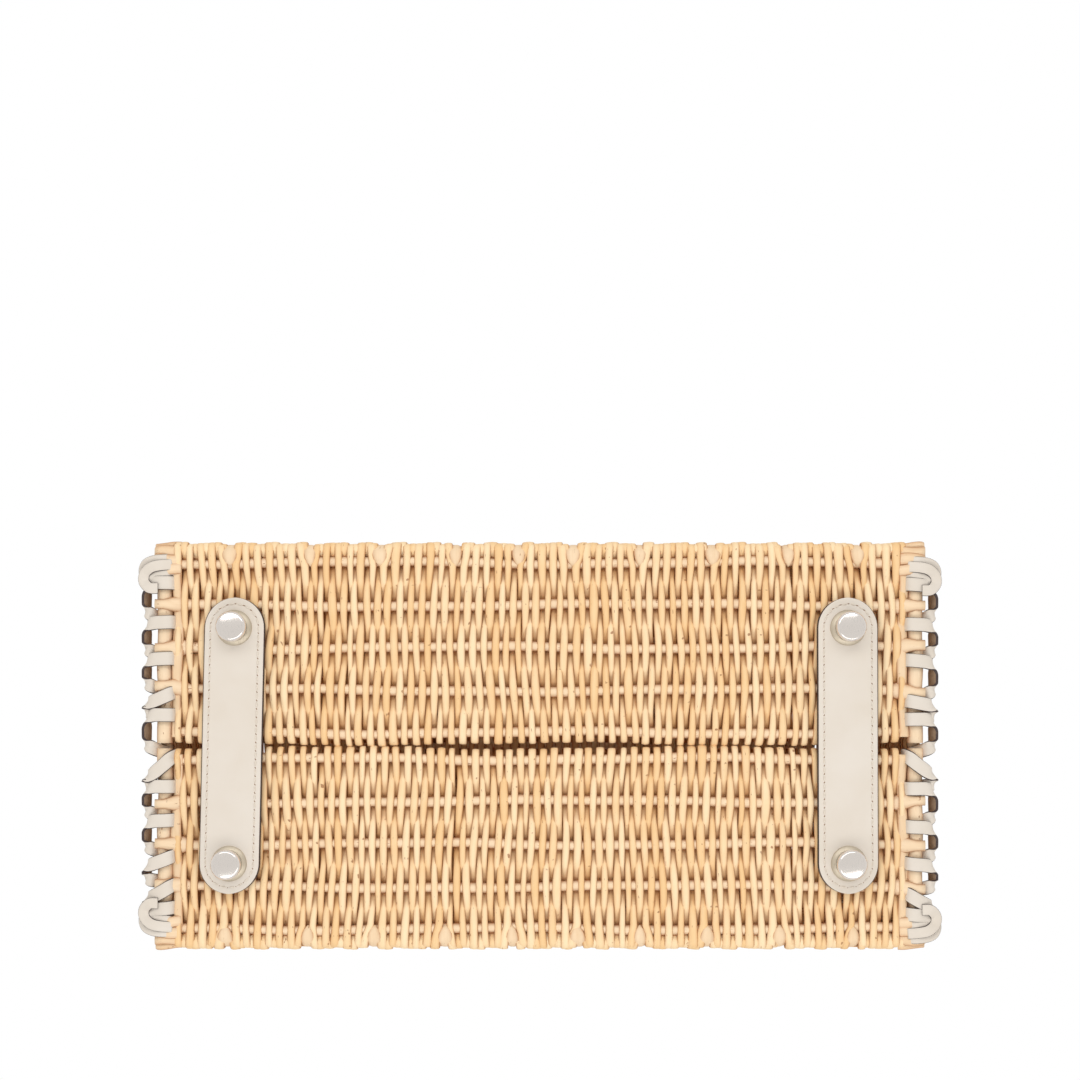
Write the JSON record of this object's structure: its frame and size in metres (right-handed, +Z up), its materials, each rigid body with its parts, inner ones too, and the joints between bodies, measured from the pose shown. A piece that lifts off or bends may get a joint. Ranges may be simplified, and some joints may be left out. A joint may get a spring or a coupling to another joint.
{
  "type": "basket box bag",
  "caption": "Rectangular woven willow handbag with laced ends, leather base straps on metal feet, a hinged lid, a turn-lock tab and a swinging top handle.",
  "frame": {"origin": "on the ground, midway between the four feet", "axes": "+Z up, -Y the front with the closing tab, +X to the right when seen from the front"},
  "size_m": [0.364, 0.2036, 0.3325],
  "materials": {
    "willow_weave": "natural peeled willow, satin",
    "willow_stake": "natural peeled willow, satin",
    "strap_leather": "smooth cream calf leather, dark painted edges",
    "lace_leather": "cream lace, dark painted edges, bare flesh side",
    "handle_leather": "smooth cream calf leather",
    "polished_metal": "polished palladium-tone metal"
  },
  "bodies": {
    "body": {"back_base_stakes": "willow_stake", "back_base_weave": "willow_weave", "back_left_corner_lace": "lace_leather", "back_left_foot": "polished_metal", "back_left_frame_rod": "willow_stake", "back_right_corner_lace": "lace_leather", "back_right_foot": "polished_metal", "back_right_frame_rod": "willow_stake", "back_wall_stakes": "willow_stake", "back_wall_weave": "willow_weave", "foot_screws": "polished_metal", "foot_washers": "polished_metal", "front_base_stakes": "willow_stake", "front_base_weave": "willow_weave", "front_left_corner_lace": "lace_leather", "front_left_foot": "polished_metal", "front_left_frame_rod": "willow_stake", "front_right_corner_lace": "lace_leather", "front_right_foot": "polished_metal", "front_right_frame_rod": "willow_stake", "front_wall_stakes": "willow_stake", "front_wall_weave": "willow_weave", "left_base_lace": "lace_leather", "left_base_strap": "strap_leather", "left_hinge_strap_on_wall": "strap_leather", "left_side_stakes": "willow_stake", "left_side_weave": "willow_weave", "lock_back_plate": "polished_metal", "lock_plate": "polished_metal", "lock_screws": "polished_metal", "right_base_lace": "lace_leather", "right_base_strap": "strap_leather", "right_hinge_strap_on_wall": "strap_leather", "right_side_stakes": "willow_stake", "right_side_weave": "willow_weave", "wall_stud_roves": "polished_metal", "wall_studs": "polished_metal"},
    "lid": {"left_handle_loop": "strap_leather", "left_hinge_strap_on_lid": "strap_leather", "lid_left_end_rod": "willow_stake", "lid_left_lace": "lace_leather", "lid_right_end_rod": "willow_stake", "lid_right_lace": "lace_leather", "lid_stakes": "willow_stake", "lid_stud_roves": "polished_metal", "lid_studs": "polished_metal", "lid_weave": "willow_weave", "right_handle_loop": "strap_leather", "right_hinge_strap_on_lid": "strap_leather", "tab_anchor": "strap_leather"},
    "closing_tab": {"closing_tab": "strap_leather", "slot_plate": "polished_metal", "slot_rivets": "polished_metal"},
    "toggle": {"toggle": "polished_metal", "toggle_collar": "polished_metal"},
    "handle": {"handle": "handle_leather", "left_handle_ring": "polished_metal", "right_handle_ring": "polished_metal"}
  },
  "joints": [
    {"name": "lid_hinge", "type": "hinge", "parent": "body", "child": "lid", "pos_m": [0, 0.094, 0.22725], "axis": [-1, 0, 0], "range_deg": [0, 110]},
    {"name": "tab_fold", "type": "hinge", "parent": "lid", "child": "closing_tab", "pos_m": [0, -0.0949, 0.2315], "axis": [-1, 0, 0], "range_deg": [-6.28, 93]},
    {"name": "toggle_turn", "type": "hinge", "parent": "body", "child": "toggle", "pos_m": [0, -0.0971, 0.1735], "axis": [0, -1, 0], "range_deg": [0, 90]},
    {"name": "handle_swing", "type": "hinge", "parent": "lid", "child": "handle", "pos_m": [0, 0, 0.2366], "axis": [1, 0, 0], "range_deg": [-72, 72]}
  ]
}
